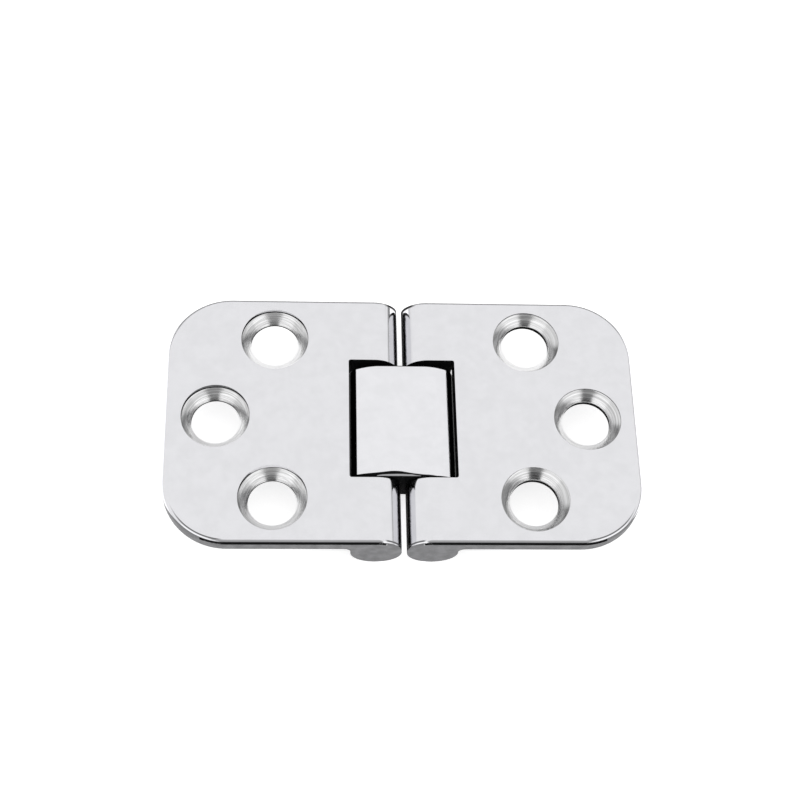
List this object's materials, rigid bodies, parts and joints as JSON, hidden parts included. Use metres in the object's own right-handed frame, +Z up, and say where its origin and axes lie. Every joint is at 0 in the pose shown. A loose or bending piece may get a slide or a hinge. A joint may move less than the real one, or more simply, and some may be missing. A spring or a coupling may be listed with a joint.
{
  "type": "table hinge",
  "caption": "Flush table hinge with countersunk screw holes: two cast leaves with knuckles underneath fold up about their own pins on a link block set in a window.",
  "frame": {"origin": "on the plane of the knuckles' undersides, midway between the two pins and halfway along them", "axes": "+X across the hinge from the left leaf to the right one, +Y along the pins, +Z up out of the leaves' polished top faces"},
  "size_m": [0.066, 0.0374, 0.007],
  "materials": {
    "leaf_steel": "mirror polished cast stainless steel with matt knuckle ends",
    "link_steel": "mirror polished stainless steel",
    "pin_steel": "ground stainless steel rod"
  },
  "bodies": {
    "link": {"link": "link_steel"},
    "left_leaf": {"left_leaf": "leaf_steel", "left_pin": "pin_steel"},
    "right_leaf": {"right_leaf": "leaf_steel", "right_pin": "pin_steel"}
  },
  "joints": [
    {"name": "left_fold", "type": "hinge", "parent": "link", "child": "left_leaf", "pos_m": [-0.00385, 0, 0.0035], "axis": [0, 1, 0], "range_deg": [0, 90]},
    {"name": "right_fold", "type": "hinge", "parent": "link", "child": "right_leaf", "pos_m": [0.00385, 0, 0.0035], "axis": [0, -1, 0], "range_deg": [0, 90]}
  ]
}
